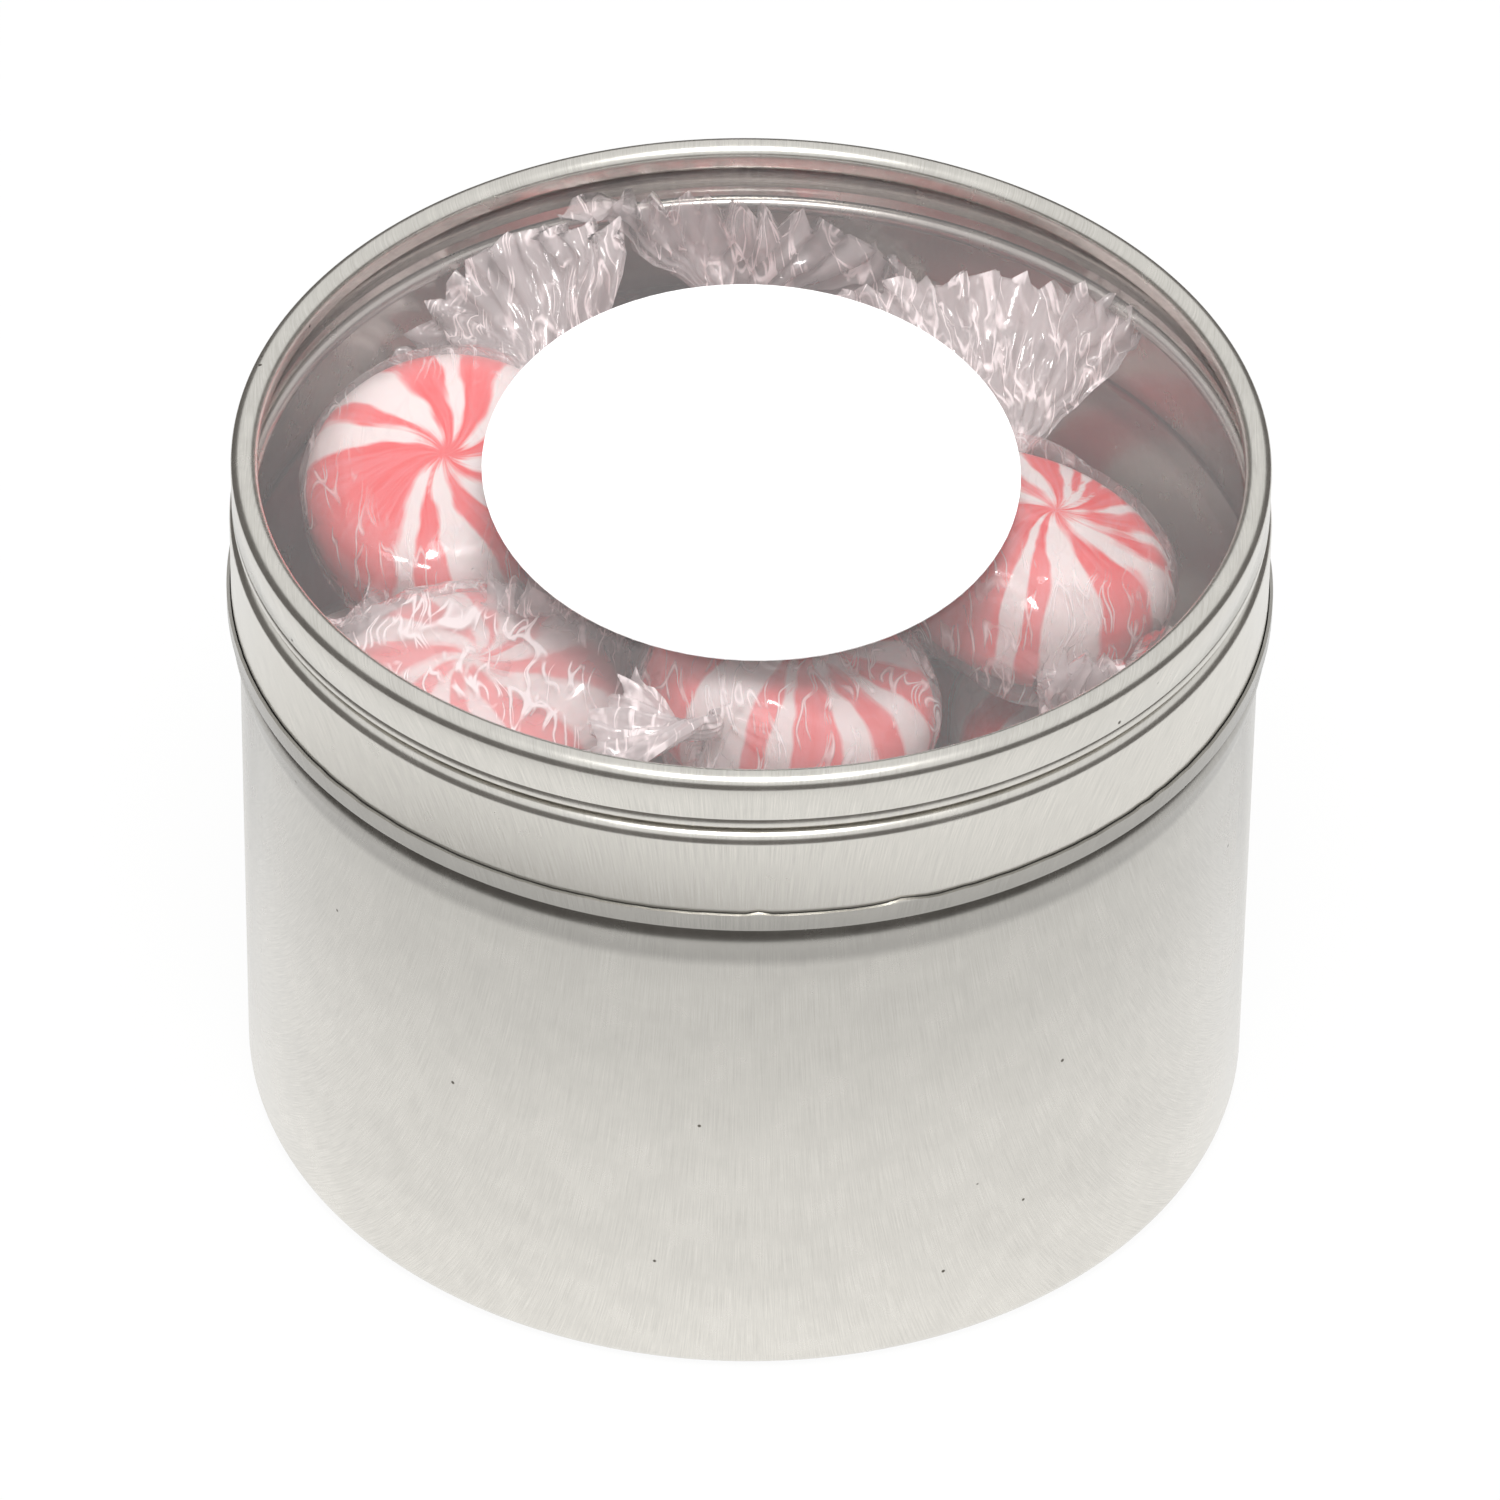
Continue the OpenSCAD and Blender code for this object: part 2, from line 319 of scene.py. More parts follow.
def makeTinplate(name, zero, way, roughness, paintedShade):
    # Electrolytic tinplate, rolled and then drawn: a satin grey with fine rolling grain that runs
    # straight across the blank, so it stands upright at the front and lies flat at the sides. The
    # grain is drawn coarser than the real one, to show. The colour is also darkened by height as
    # painted shade, where the real tin lies in shade: the last argument gives heights, each with
    # its share of the colour
    tin = {
        "colour": "#e4e1da", "radius": 40.5, "metallic": 0.93, "roughSpread": (-0.03, 0.04),
        "grain": 0.1, "grainLength": 3.5, "grainShades": (0.9, 1.06), "grainDepth": 0.02,
        "blotch": 4.0, "blotchShades": (0.95, 1.03),
        "pit": 3.2, "pitEdge": (0.035, 0.06), "pitsLeftOut": 0.8, "pitColour": "#5c574f",
    }
    material, tree = newMaterial(name)
    place = addNode(tree, "TexCoord").outputs["Object"]
    axes = addNode(tree, "SeparateXYZ", {0: place})
    # Each point's place on the flat blank
    depth = addNode(tree, "Math", {
        0: axes.outputs["Z"], 1: 2 * way / (tin["radius"] * mm),
        2: 1 - 2 * way * zero / tin["radius"]}, operation="MULTIPLY_ADD")
    kept = addNode(tree, "Math", {0: depth.outputs[0], 1: 0.05}, operation="MAXIMUM")
    spread = addNode(tree, "Math", {0: kept.outputs[0], 1: 0.5}, operation="POWER").outputs[0]
    blankX = addNode(tree, "Math", {0: axes.outputs["X"], 1: spread}, operation="MULTIPLY")
    blankY = addNode(tree, "Math", {0: axes.outputs["Y"], 1: spread}, operation="MULTIPLY")
    blank = addNode(tree, "CombineXYZ", {"X": blankX.outputs[0], "Y": blankY.outputs[0], "Z": 0})
    lined = addNode(tree, "Mapping", {
        "Vector": blank.outputs[0],
        "Scale": (1 / (tin["grain"] * mm), 1 / (tin["grainLength"] * mm), 1)})
    grain = addNode(tree, "TexNoise", {
        "Vector": lined.outputs[0], "Scale": 1, "Detail": 3, "Roughness": 0.6}).outputs["Fac"]
    blotch = addNode(tree, "TexNoise", {
        "Vector": place, "Scale": 1 / (tin["blotch"] * mm), "Detail": 4,
        "Roughness": 0.65}).outputs["Fac"]
    # A few small dark pits
    pits = addNode(tree, "TexVoronoi", {
        "Vector": place, "Scale": 1 / (tin["pit"] * mm), "Randomness": 1})
    pit = addNode(tree, "MapRange", {
        "Value": pits.outputs["Distance"], "From Min": tin["pitEdge"][0],
        "From Max": tin["pitEdge"][1], "To Min": 1, "To Max": 0})
    chosen = addNode(tree, "SeparateColor", {0: pits.outputs["Color"]})
    rare = addNode(tree, "Math", {
        0: chosen.outputs[0], 1: tin["pitsLeftOut"]}, operation="GREATER_THAN")
    spot = addNode(tree, "Math", {0: pit.outputs[0], 1: rare.outputs[0]}, operation="MULTIPLY")
    shade = addNode(tree, "MapRange", {
        "Value": grain, "From Min": 0.3, "From Max": 0.7,
        "To Min": tin["grainShades"][0], "To Max": tin["grainShades"][1]})
    cloud = addNode(tree, "MapRange", {
        "Value": blotch, "From Min": 0.35, "From Max": 0.65,
        "To Min": tin["blotchShades"][0], "To Max": tin["blotchShades"][1]})
    both = addNode(tree, "Math", {0: shade.outputs[0], 1: cloud.outputs[0]}, operation="MULTIPLY")
    # Painted shade: the colour darkens step by step with height, where the real tin lies in shade
    patternAndPaintedLight = addNode(tree, "Math", {
        0: both.outputs[0], 1: paintedShade[0][1]}, operation="MULTIPLY").outputs[0]
    for (low, lowShare), (high, highShare) in zip(paintedShade, paintedShade[1:]):
        step = addNode(tree, "MapRange", {
            "Value": axes.outputs["Z"], "From Min": low * mm, "From Max": high * mm,
            "To Min": 1, "To Max": highShare / lowShare}, interpolation_type="SMOOTHSTEP")
        patternAndPaintedLight = addNode(tree, "Math", {
            0: patternAndPaintedLight, 1: step.outputs[0]}, operation="MULTIPLY").outputs[0]
    plain = addNode(tree, "Mix", {
        "Factor": 1.0, 6: linear(tin["colour"]), 7: patternAndPaintedLight}, data_type="RGBA", blend_type="MULTIPLY")
    colour = addNode(tree, "Mix", {
        "Factor": spot.outputs[0], 6: plain.outputs[2], 7: linear(tin["pitColour"])},
        data_type="RGBA")
    rough = addNode(tree, "MapRange", {
        "Value": blotch, "From Min": 0.3, "From Max": 0.7,
        "To Min": roughness + tin["roughSpread"][0], "To Max": roughness + tin["roughSpread"][1]})
    bump = addNode(tree, "Bump", {
        "Height": grain, "Strength": 0.25, "Distance": tin["grainDepth"] * mm})
    metal = addNode(tree, "BsdfPrincipled", {
        "Base Color": colour.outputs[2], "Metallic": tin["metallic"],
        "Roughness": rough.outputs[0], "Normal": bump.outputs[0]})
    addNode(tree, "OutputMaterial", {"Surface": metal.outputs[0]})
    return material


drawnCup = makeCup()
cupTin = makeTinplate("tinplate_drawn_cup", 0, 1, cup["roughness"], cup["paintedShade"])
dress(drawnCup, cupTin)
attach(drawnCup, "tin")
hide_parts("tin_cup")
lidRing = makeLidRing()
lidTin = makeTinplate("tinplate_lid_ring", lid["top"], -1, lid["roughness"], lid["paintedShade"])
dress(lidRing, lidTin)
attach(lidRing, "lid")
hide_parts("lid_ring")
print("tinplate pieces made")


# Window and label

pane = {
    "radius": 40.5, "top": 58.85, "thickness": 0.35, "bend": 0.6, "foot": 56.7, "steps": 160,
    # the haze's faint pink is painted light, bounced from the red mints
    "tint": "#fefdfd", "haze": 0.04, "hazeAndPaintedBounceColour": "#faf0f0",
    "gloss": (0.035, 0.8),  # share of light thrown back, straight on and at grazing
    "wave": 16.667, "waveDepth": 0.3,
}
label = {"colours": ("#fbfbfb", "#ffffff"), "fibre": 0.25, "fibreDepth": 0.01, "roughness": 0.55}


def sheen(tree, straight, grazing, normal=None):
    # Share of light that a thin clear sheet throws back, the same from both its sides
    links = {"Blend": 0.5} | ({"Normal": normal} if normal else {})
    facing = addNode(tree, "LayerWeight", links).outputs["Facing"]
    steep = addNode(tree, "Math", {0: facing, 1: 5}, operation="POWER")
    return addNode(tree, "Math", {
        0: steep.outputs[0], 1: grazing - straight, 2: straight},
        operation="MULTIPLY_ADD").outputs[0]


def makeWindow():
    w = pane
    profile = [(0, w["top"]), (w["radius"] * 0.5, w["top"])]
    profile += arc((w["radius"] - w["bend"], w["top"] - w["bend"]), w["bend"], 90, 0, 8)
    profile += [(w["radius"], w["foot"])]
    return spun("window_pane", profile, w["steps"], w["thickness"])


def makeClearSheet():
    # Clear PET sheet, cut and formed: all but invisible, with a soft gloss at grazing angles and a
    # trace of haze, whose faint pink is painted light bounced from the red mints
    material, tree = newMaterial("clear_pet_sheet")
    place = addNode(tree, "TexCoord").outputs["Object"]
    wave = addNode(tree, "TexNoise", {
        "Vector": place, "Scale": 1 / (pane["wave"] * mm), "Detail": 2})
    bump = addNode(tree, "Bump", {
        "Height": wave.outputs["Fac"], "Strength": 0.2, "Distance": pane["waveDepth"] * mm})
    through = addNode(tree, "BsdfTransparent", {"Color": linear(pane["tint"])})
    gloss = addNode(tree, "BsdfGlossy", {
        "Color": (1, 1, 1, 1), "Roughness": 0.05, "Normal": bump.outputs[0]})
    milk = addNode(tree, "BsdfDiffuse", {"Color": linear(pane["hazeAndPaintedBounceColour"])})
    dull = addNode(tree, "MixShader", {
        "Fac": pane["haze"], 1: through.outputs[0], 2: milk.outputs[0]})
    clear = addNode(tree, "MixShader", {
        "Fac": sheen(tree, *pane["gloss"]), 1: dull.outputs[0], 2: gloss.outputs[0]})
    addNode(tree, "OutputMaterial", {"Surface": clear.outputs[0]})
    return material


def makeLabelPaper():
    # Coated white paper: even and matt, with the faintest fibre mottle
    material, tree = newMaterial("coated_label_paper")
    place = addNode(tree, "TexCoord").outputs["Object"]
    fibre = addNode(tree, "TexNoise", {
        "Vector": place, "Scale": 1 / (label["fibre"] * mm), "Detail": 3}).outputs["Fac"]
    colour = addNode(tree, "Mix", {
        "Factor": fibre, 6: linear(label["colours"][0]), 7: linear(label["colours"][1])},
        data_type="RGBA")
    bump = addNode(tree, "Bump", {
        "Height": fibre, "Strength": 0.1, "Distance": label["fibreDepth"] * mm})
    paper = addNode(tree, "BsdfPrincipled", {
        "Base Color": colour.outputs[2], "Roughness": label["roughness"],
        "Normal": bump.outputs[0]})
    addNode(tree, "OutputMaterial", {"Surface": paper.outputs[0]})
    return material


windowPane = makeWindow()
dress(windowPane, makeClearSheet())
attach(windowPane, "lid")
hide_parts("window_disc")
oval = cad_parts["label"]
oval.data.materials.clear()
oval.data.materials.append(makeLabelPaper())
print("window and label made")


# Mints

mints = {
    "radius": 11.6, "thickness": 12.0, "edge": 4.4, "dome": 40, "steps": 144, "count": 26,
    "perLayer": 7,  # below the top ones
    # tilt, lean and the ways the two wrapper ends point, as in the part's source; then the swirl,
    # and where the stripes change colour, white first, as the camera sees them, clockwise from
    # the left
    "top": {
        1: {"tilt": 21, "lean": -99, "ends": (243, 63), "swirl": 0.6,
            "stripes": (-2, 15, 26, 52, 77, 90, 114, 135, 160, 180, 200, 215, 235, 260, 278, 290)},
        2: {"tilt": 21, "lean": 19, "ends": (100, 280), "swirl": 0.4,
            "stripes": (2, 22, 40, 60, 88, 100, 112, 124, 134, 140, 161, 169, 184, 192, 198, 212,
                        232, 262, 279, 296)},
        3: {"tilt": 21, "lean": 10, "ends": (235, 110), "swirl": 0.6,
            "stripes": (20, 40, 70, 95, 120, 140, 165, 185, 205, 217, 229, 243, 272, 288, 307,
                        345)},
        4: {"tilt": 0, "lean": 0, "ends": (35, 160), "swirl": 0.8,
            "stripes": (5, 25, 48, 70, 92, 118, 140, 160, 182, 205, 230, 250, 275, 300, 322, 340)},
        5: {"tilt": 0, "lean": 0, "ends": (90, 270), "swirl": 0.8,
            "stripes": (0, 20, 44, 66, 90, 112, 134, 150, 178, 200, 226, 248, 270, 292, 316, 338)},
    },
    # a mint lower down: its swirl, how many changes of colour it has and how uneven they are
    "seed": 4, "swirl": 0.8, "changes": 16, "uneven": 4,
    "twist": 1.1, "twistDown": 0.02,  # radians at the middle of the face, and for each mm of depth
}


def endsOf(i):
    if i in mints["top"]:
        return mints["top"][i]["ends"]
    # In the layers below, the last mint is the middle one and the others stand in a ring
    slot = (i - 1 - len(mints["top"])) % mints["perLayer"]
    first = 30 if slot == mints["perLayer"] - 1 else slot * 60 + 90
    return first, first + 180


def turnOf(i):
    # Turn and place of mint i, in millimetres
    t = mints["top"].get(i) or {"tilt": 0, "lean": 0}
    low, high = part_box(f"mint_{i}")
    lean, tilt = math.radians(t["lean"]), math.radians(t["tilt"])
    turn = Matrix.Rotation(lean, 4, "Z") @ Matrix.Rotation(tilt, 4, "Y")
    turn = turn @ Matrix.Rotation(-lean, 4, "Z")
    return Matrix.Translation((low + high) / 2 / mm) @ turn


def stripeDistance(t, angle, place):
    # Degrees to the nearest change of colour, positive in the white, as the stripes are given
    e = math.radians(camera["elevation"])
    way = place.to_3x3() @ Vector((math.cos(angle), math.sin(angle), 0))
    seen = math.degrees(math.atan2(way.dot(Vector((0, math.sin(e), math.cos(e)))), -way.x))
    best = 360
    for k, change in enumerate(t["stripes"]):
        off = (seen - change + 180) % 360 - 180
        if abs(off) < abs(best):
            best = off if k % 2 == 0 else -off
    return best


def makeMintBlank():
    # A domed face on a rounded edge, the same above and below
    m = mints
    slope = math.asin((m["radius"] - m["edge"]) / m["dome"])
    side = m["thickness"] / 2 - m["dome"] + (m["dome"] - m["edge"]) * math.cos(slope)
    lean = 90 - math.degrees(slope)
    top = arc((0, m["thickness"] / 2 - m["dome"]), m["dome"], 90, lean, 9)[:-1]
    top += arc((m["radius"] - m["edge"], side), m["edge"], lean, 0, 10)
    blank = spun("mint_blank", top + [(r, -z) for r, z in reversed(top)], m["steps"])
    blank.data.transform(Matrix.Scale(1 / mm, 4))  # in millimetres until each copy is placed
    return blank


def makeBoiledSugar():
    # Pulled and boiled sugar in two colours, rolled to a rope and stamped: glossy and a little
    # cloudy, with streaks drawn out along the stripes
    sugar = {
        "red": "#fa2c34", "pink": "#fb787e", "white": "#fdf1ef", "pull": (8, 8, 0.16),
        "waver": 3.5, "waverBy": 1.6, "ragged": 0.9, "stripeEdge": (0.15, 0.75),
        "ripple": 2.5, "rippleDepth": 0.25, "roughness": 0.3, "ior": 1.5,
        "depth": 2.5, "depthShare": 0.4, "depthByColour": (1.0, 0.5, 0.45),
    }
    material, tree = newMaterial("boiled_sugar_stripes")
    stripe = addNode(tree, "Attribute", attribute_name="mintStripe").outputs["Fac"]
    flow = addNode(tree, "Attribute", attribute_name="mintFlow").outputs["Vector"]
    place = addNode(tree, "TexCoord").outputs["Object"]
    pulled = addNode(tree, "VectorMath", {0: flow, 1: sugar["pull"]}, operation="MULTIPLY")
    streak = addNode(tree, "TexNoise", {
        "Vector": pulled.outputs[0], "Scale": 1, "Detail": 3, "Roughness": 0.6}).outputs["Fac"]
    waver = addNode(tree, "TexNoise", {
        "Vector": place, "Scale": 1 / (sugar["waver"] * mm), "Detail": 1})
    moved = addNode(tree, "Math", {
        0: waver.outputs["Fac"], 1: sugar["waverBy"], 2: -sugar["waverBy"] / 2},
        operation="MULTIPLY_ADD")
    ragged = addNode(tree, "Math", {
        0: streak, 1: sugar["ragged"], 2: moved.outputs[0]}, operation="MULTIPLY_ADD")
    edge = addNode(tree, "Math", {0: stripe, 1: ragged.outputs[0]}, operation="ADD")
    white = addNode(tree, "MapRange", {
        "Value": edge.outputs[0], "From Min": sugar["stripeEdge"][0],
        "From Max": sugar["stripeEdge"][1]}, interpolation_type="SMOOTHSTEP")
    tint = addNode(tree, "MapRange", {"Value": streak, "From Min": 0.4, "From Max": 0.75})
    reds = addNode(tree, "Mix", {
        "Factor": tint.outputs[0], 6: linear(sugar["red"]), 7: linear(sugar["pink"])},
        data_type="RGBA")
    colour = addNode(tree, "Mix", {
        "Factor": white.outputs[0], 6: reds.outputs[2], 7: linear(sugar["white"])},
        data_type="RGBA")
    ripple = addNode(tree, "TexNoise", {
        "Vector": place, "Scale": 1 / (sugar["ripple"] * mm), "Detail": 2})
    bump = addNode(tree, "Bump", {
        "Height": ripple.outputs["Fac"], "Strength": 0.4, "Distance": sugar["rippleDepth"] * mm})
    body = addNode(tree, "BsdfPrincipled", {
        "Base Color": colour.outputs[2], "Roughness": sugar["roughness"], "IOR": sugar["ior"],
        "Subsurface Weight": sugar["depthShare"], "Subsurface Radius": sugar["depthByColour"],
        "Subsurface Scale": sugar["depth"] * mm, "Normal": bump.outputs[0]})
    addNode(tree, "OutputMaterial", {"Surface": body.outputs[0]})
    return material


def copyOf(blank, name):
    piece = blank.copy()
    piece.data = blank.data.copy()
    piece.name = piece.data.name = name
    bpy.context.scene.collection.objects.link(piece)
    return piece


def makeMints():
    m = mints
    blank = makeMintBlank()
    sugar = makeBoiledSugar()
    pick = random.Random(m["seed"])
    for i in range(1, m["count"] + 1):
        mint = copyOf(blank, f"pinwheel_mint_{i}")
        place = turnOf(i)
        apart = 360 / m["changes"]
        turned = pick.uniform(0, 2 * apart)
        t = m["top"].get(i) or {"swirl": m["swirl"], "stripes": [
            turned + k * apart + pick.uniform(-m["uneven"], m["uneven"])
            for k in range(m["changes"])]}
        stripe = mint.data.attributes.new("mintStripe", "FLOAT", "POINT")
        flow = mint.data.attributes.new("mintFlow", "FLOAT_VECTOR", "POINT")
        for v, s, f in zip(mint.data.vertices, stripe.data, flow.data):
            rho = math.hypot(v.co.x, v.co.y)
            inner = max(1 - rho / m["radius"], 0) ** 2.5
            angle = math.atan2(v.co.y, v.co.x) + m["twist"] * t["swirl"] * inner
            angle += m["twistDown"] * v.co.z
            s.value = math.radians(stripeDistance(t, angle, place)) * max(rho, 0.3)
            f.vector = (math.cos(angle), math.sin(angle), rho + abs(v.co.z))
        mint.data.transform(Matrix.Scale(mm, 4) @ place)
        dress(mint, sugar)
        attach(mint, "tin")
        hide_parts(f"mint_{i}")
    bpy.data.objects.remove(blank)


makeMints()
print("mints made")


# Wrappers

wrap = {
    "gap": 0.25, "around": 112, "bodyShare": 0.6, "slack": 0.3, "boxy": 2.6,
    "neck": 1.1, "neckHeight": 2.5, "wall": 39.9, "ceiling": 58.2, "easeOff": 1.5,
    "crumple": 0.8, "crumpleBelow": 0.16,  # for the mints on top and for those below
    "crinkle": 1.6, "pleatDepth": 0.26, "hang": 0.15, "twist": 1.2,
    "tailLength": 4.4, "tailWidth": 2.3, "tailPleats": 4,
    # for the mints on top, how loose the film lies on the face, then where each end's fan goes,
    # with its half width, roll in radians and pleats
    "loose": {1: 0.06, 2: 0.1, 3: 0.6, 4: 1.0, 5: 0.5},
    "tails": {
        1: (((-33.5, -10, 50), 6, 0.4, 7), ((-22, 31, 56), 14, 0.1, 11)),
        2: (((20, 29, 56), 14, -0.1, 11), ((29, -14, 50), 7, 0.2, 7)),
        3: (((-12, -25, 53), 6, 0.3, 7), ((-1, 1, 51), 4.5, 0.6, 6)),
        4: (((-13, -12, 55.5), 10, 0.6, 9), ((-36.5, -9, 46.5), 4, 0.4, 6)),
        5: (((1, 37, 56), 17, 0.1, 13), ((-3, 4, 51), 5, 0.2, 6)),
    },
}


def makeFilmTube(around):
    # An open tube of equal rings along X, each ring to be shaped by its number
    bpy.ops.object.select_all(action="DESELECT")
    bpy.ops.mesh.primitive_circle_add(
        vertices=around, radius=mm, location=(0, 0, 0), rotation=(0, math.pi / 2, 0))
    tube = bpy.context.object
    tube.name = "film_tube"
    bpy.ops.object.transform_apply(location=True, rotation=True, scale=True)
    bpy.ops.object.mode_set(mode="EDIT")
    bpy.ops.mesh.select_all(action="SELECT")
    for i in range(2 * around // 3):
        bpy.ops.mesh.extrude_edges_move(TRANSFORM_OT_translate={"value": (mm, 0, 0)})
    bpy.ops.object.mode_set(mode="OBJECT")
    bpy.ops.object.shade_smooth()
    return tube


def outsideMint(p, gap):
    # A point in the mint's own millimetres, pushed out until it clears the mint
    m = mints
    rho = math.hypot(p.x, p.y)
    dr, dz = rho - (m["radius"] - m["edge"]), abs(p.z) - (m["thickness"] / 2 - m["edge"])
    out = Vector((max(dr, 0), max(dz, 0)))
    clear = (out.length if out.length > 0 else max(dr, dz)) - m["edge"]
    if clear >= gap:
        return p
    if out.length < 1e-6:
        out = Vector((1, 0)) if dr > dz else Vector((0, 1))
    out = out.normalized() * (gap - clear)
    side = Vector((p.x, p.y, 0)).normalized() if rho > 1e-6 else Vector((1, 0, 0))
    return p + side * out.x + Vector((0, 0, math.copysign(out.y, p.z)))


def soft(value, limit, zone):  # levels off towards a limit
    over = value - limit + zone
    return value if over <= 0 else limit - zone * math.exp(-over / zone)


def settled(p, own, places):
    # Pushed off the other mints, and kept under the window and inside the wall
    w = wrap
    for other, (place, back) in places.items():
        if other != own:
            q = back @ p
            moved = outsideMint(q, w["slack"])
            if moved is not q:
                p = place @ moved
    rho = math.hypot(p.x, p.y)
    kept = soft(rho, w["wall"], w["easeOff"]) / max(rho, 1e-6)
    return Vector((p.x * kept, p.y * kept, soft(p.z, w["ceiling"], w["easeOff"])))


def shapeFilm(tube, i, tails, crumple, places):
    m, w = mints, wrap
    last = max(round(v.co.x / mm) for v in tube.data.vertices)
    reach = m["radius"] + w["gap"] + w["slack"]
    place = places[i][0]
    first, second = endsOf(i)
    second = first + ((second + 180 - first + 180) % 360 - 180)
    slack = tube.data.attributes.new("filmSlack", "FLOAT", "POINT")
    for v, loose in zip(tube.data.vertices, slack.data):
        u = 2 * round(v.co.x / mm) / last - 1
        a = math.atan2(v.co.z, v.co.y)
        c, n = math.cos(a), math.sin(a)
        side = 1 if u >= 0 else -1
        goal, width, roll, pleats = tails[0 if side > 0 else 1]
        s = min(abs(u) / w["bodyShare"], 1)  # from the mint's middle to the neck
        t = max(abs(u) - w["bodyShare"], 0) / (1 - w["bodyShare"])  # from the neck to the end
        shift = Vector((i * 7.3, side * 3.1, i * 1.7))  # so that no two crumple alike
        swing = (first + second) / 2 + (first - second) / 2 * side * s * s * (3 - 2 * s)
        axis = Matrix.Rotation(math.radians(swing), 4, "Z")
        if t <= 0:
            # Over the mint, drawing in to the neck
            x = reach * math.sin(s * math.pi / 2) ** 0.9
            closeness = min(max((s - 0.55) / 0.45, 0), 1)
            fall = closeness ** 2 * (3 - 2 * closeness)
            half = math.sqrt(max(m["radius"] ** 2 - min(x, m["radius"]) ** 2, 0)) + w["gap"]
            wide = half * (1 - fall) + w["neck"] * fall
            tall = (m["thickness"] / 2 + w["gap"]) * (1 - fall) + w["neck"] * fall
            bulge = (abs(c) ** w["boxy"] + abs(n) ** w["boxy"]) ** (-1 / w["boxy"])
            up = tall * n * bulge + side * w["neckHeight"] * fall
            p = Vector((side * x, wide * c * bulge, up))
            edge = min(max((math.hypot(p.x, p.y) - 6) / 5, 0), 1)
            face = w["loose"].get(i, 0.5)
            loose.value = max(face, 0.7 * edge, fall) * min(crumple * 1.25, 1)
            along = Vector((a * 5 / (0.3 + fall), x * 0.12, 0)) + shift
            fold = noise.ridged_multi_fractal(along, 1, 2, 2, 1, 2)
            crease = noise.noise(p * 0.35 + shift) + 0.6 * abs(noise.noise(p * 0.8 + shift))
            lift = 0.25 * max(crease, 0)
            lift += 0.35 * fold * (0.2 + 0.8 * math.sin(math.pi * fall))
            lift *= crumple * (0.3 + 0.7 * edge) * (1 + 2.5 * face ** 4)
            p = place @ axis @ outsideMint(p, w["gap"] + lift)
        else:
            # Past the neck, bending over to its goal and fanning out in pleats
            loose.value = min(crumple * 1.25, 1)
            start = place @ axis @ Vector((side * reach, 0, side * w["neckHeight"]))
            away = (place @ axis).to_3x3() @ Vector((side, 0, 0))
            goal = Vector(goal) if goal else start + away * w["tailLength"]
            span = (goal - start).length
            bend = start + away * span * 0.4
            spine = start * (1 - t) ** 2 + bend * 2 * t * (1 - t) + goal * t ** 2
            along = ((bend - start) * (1 - t) + (goal - bend) * t).normalized()
            level = away.cross(Vector((0, 0, 1)))
            level = (level - along * level.dot(along)).normalized()
            across = Matrix.Rotation(roll + w["twist"] * (1 - t) ** 2, 3, along) @ level
            over = across.cross(along)
            wide = w["neck"] * 0.8 + (width - w["neck"] * 0.8) * t ** 1.3
            y, z = wide * c, w["neck"] * (0.8 - 0.4 * t) * n
            pleat = abs((c * pleats + t * 0.8) % 2 - 1) - 0.5
            z += w["pleatDepth"] * wide * pleat * (0.3 + 0.7 * t)
            spread = -w["hang"] * span * (y / max(wide, 0.1)) ** 2 * t
            crinkle = noise.noise_vector(Vector((t * span * 0.5, y * 0.5, z * 0.3)) + shift)
            crinkle = crinkle * crumple * w["crinkle"] * t
            p = spine + across * y + over * z + along * spread + crinkle
        v.co = (settled(p, i, places) if i in w["tails"] else p) * mm


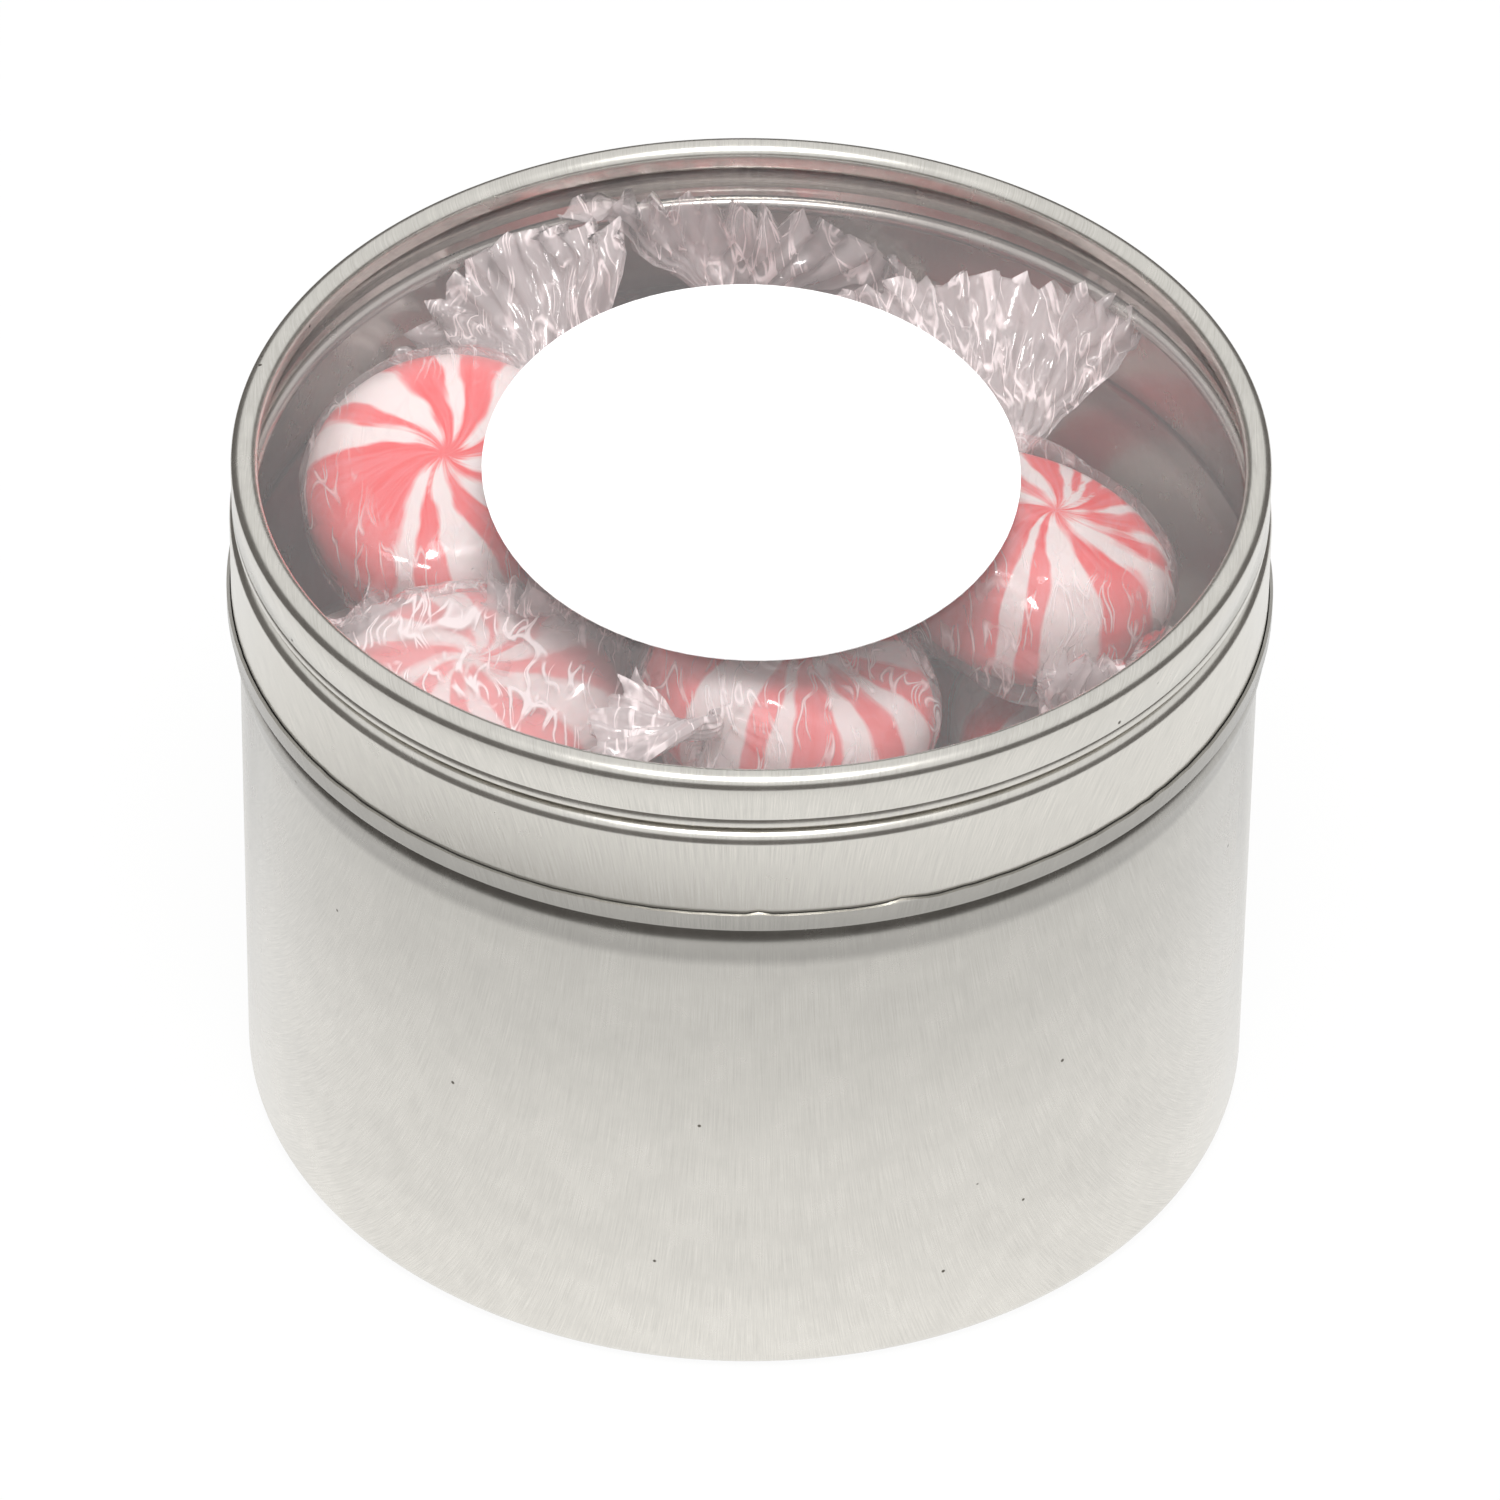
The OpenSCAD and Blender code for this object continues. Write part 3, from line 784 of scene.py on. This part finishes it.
def makeCellophane():
    # Clear cellophane, twisted by machine: thin and bright, flat between sharp creases that catch
    # the lamp. The facets turn the light where the mesh is too coarse to. The glints on the creases
    # are painted highlights, white lines laid into the haze, and the haze's faint pink is painted
    # light bounced from the red mints
    film = {
        "bend": 5, "bendBy": 3, "flatten": (1, 1, 0.5), "facet": 2.0, "tilt": 0.8,
        "creaseWidth": 0.028, "creaseWays": ((0, 20, 25), (50, 30, 100), (75, 0, 160)),
        "creaseAcross": 1.7, "creaseAlong": 9, "patch": 3.2, "patchEdge": (0.42, 0.56),
        # the haze's faint pink is painted light, bounced from the red mints
        "tint": "#fffefe", "haze": 0.3, "hazeAndPaintedBounceColour": "#faf0f0",
        "gloss": (0.06, 0.8), "roughness": 0.05,
    }
    material, tree = newMaterial("clear_cellophane")
    place = addNode(tree, "TexCoord").outputs["Object"]
    slack = addNode(tree, "Attribute", attribute_name="filmSlack").outputs["Fac"]
    bent = addNode(tree, "TexNoise", {
        "Vector": place, "Scale": 1 / (film["bend"] * mm), "Detail": 1})
    push = film["bendBy"] * mm
    pushed = addNode(tree, "VectorMath", {
        0: bent.outputs["Color"], 1: (push, push, push), 2: place}, operation="MULTIPLY_ADD")
    flat = addNode(tree, "VectorMath", {
        0: pushed.outputs[0], 1: film["flatten"]}, operation="MULTIPLY")
    facets = addNode(tree, "TexVoronoi", {
        "Vector": flat.outputs[0], "Scale": 1 / (film["facet"] * mm), "Randomness": 1})
    centred = addNode(tree, "VectorMath", {
        0: facets.outputs["Color"], 1: (0.5, 0.5, 0.5)}, operation="SUBTRACT")
    loose = addNode(tree, "Math", {0: slack, 1: film["tilt"]}, operation="MULTIPLY")
    tilt = addNode(tree, "VectorMath", {
        0: centred.outputs[0], "Scale": loose.outputs[0]}, operation="SCALE")
    face = addNode(tree, "NewGeometry").outputs["Normal"]
    turned = addNode(tree, "VectorMath", {0: face, 1: tilt.outputs[0]}, operation="ADD")
    normal = addNode(tree, "VectorMath", {
        0: turned.outputs[0]}, operation="NORMALIZE").outputs[0]
    # Painted highlights: white lines along the creases for the lamp's glint on each fold, which
    # run in a few ways and show in patches
    paintedGlintLine = 0
    along = 1 / (film["creaseAlong"] * mm)
    for ways in film["creaseWays"]:
        run = addNode(tree, "Mapping", {
            "Vector": pushed.outputs[0], "Rotation": [math.radians(way) for way in ways],
            "Scale": (1 / (film["creaseAcross"] * mm), along, along)})
        height = addNode(tree, "TexNoise", {"Vector": run.outputs[0], "Scale": 1, "Detail": 0})
        middle = addNode(tree, "Math", {0: height.outputs["Fac"], 1: 0.5}, operation="SUBTRACT")
        off = addNode(tree, "Math", {0: middle.outputs[0]}, operation="ABSOLUTE")
        near = addNode(tree, "MapRange", {
            "Value": off.outputs[0], "From Min": 0, "From Max": film["creaseWidth"],
            "To Min": 1, "To Max": 0})
        paintedGlintLine = addNode(tree, "Math", {
            0: near.outputs[0], 1: paintedGlintLine}, operation="MAXIMUM").outputs[0]
    patch = addNode(tree, "TexNoise", {
        "Vector": place, "Scale": 1 / (film["patch"] * mm), "Detail": 2})
    some = addNode(tree, "MapRange", {
        "Value": patch.outputs["Fac"], "From Min": film["patchEdge"][0],
        "From Max": film["patchEdge"][1]})
    patternAndPaintedLight = addNode(tree, "Math", {0: paintedGlintLine, 1: some.outputs[0]}, operation="MULTIPLY")
    # The painted glint lines join the haze, as white film where the wrap lies loose
    hazeAndGlints = addNode(tree, "Math", {0: patternAndPaintedLight.outputs[0], 1: film["haze"]}, operation="ADD")
    hazeAndGlintsWhereLoose = addNode(tree, "Math", {0: hazeAndGlints.outputs[0], 1: slack}, operation="MULTIPLY")
    through = addNode(tree, "BsdfTransparent", {"Color": linear(film["tint"])})
    gloss = addNode(tree, "BsdfGlossy", {
        "Color": (1, 1, 1, 1), "Roughness": film["roughness"], "Normal": normal})
    milk = addNode(tree, "BsdfDiffuse", {"Color": linear(film["hazeAndPaintedBounceColour"])})
    hazeAndGlintVeil = addNode(tree, "MixShader", {
        "Fac": hazeAndGlintsWhereLoose.outputs[0], 1: through.outputs[0], 2: milk.outputs[0]})
    sheet = addNode(tree, "MixShader", {
        "Fac": sheen(tree, *film["gloss"], normal), 1: hazeAndGlintVeil.outputs[0], 2: gloss.outputs[0]})
    addNode(tree, "OutputMaterial", {"Surface": sheet.outputs[0]})
    return material


def makeWrappers():
    w = wrap
    fine, coarse = makeFilmTube(w["around"]), makeFilmTube(w["around"] // 2)
    cellophane = makeCellophane()
    places = {i: turnOf(i) for i in range(1, mints["count"] + 1)}
    places = {i: (place, place.inverted()) for i, place in places.items()}
    # The pile's films can touch only each other's mints and the layer under them
    under = mints["count"] - mints["perLayer"]
    near = {i: places[i] for i in places if i in w["tails"] or i > under}
    small = (None, w["tailWidth"], 0, w["tailPleats"])
    for i in range(1, mints["count"] + 1):
        onTop = i in w["tails"]
        film = copyOf(fine if onTop else coarse, f"cellophane_wrap_{i}")
        if onTop:
            shapeFilm(film, i, w["tails"][i], w["crumple"], near)
        else:
            shapeFilm(film, i, (small, small), w["crumpleBelow"], places)
        dress(film, cellophane)
        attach(film, "tin")
        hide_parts(f"wrapper_{i}")
    bpy.data.objects.remove(fine)
    bpy.data.objects.remove(coarse)


makeWrappers()
print("wrappers made")

print("pieces finished")
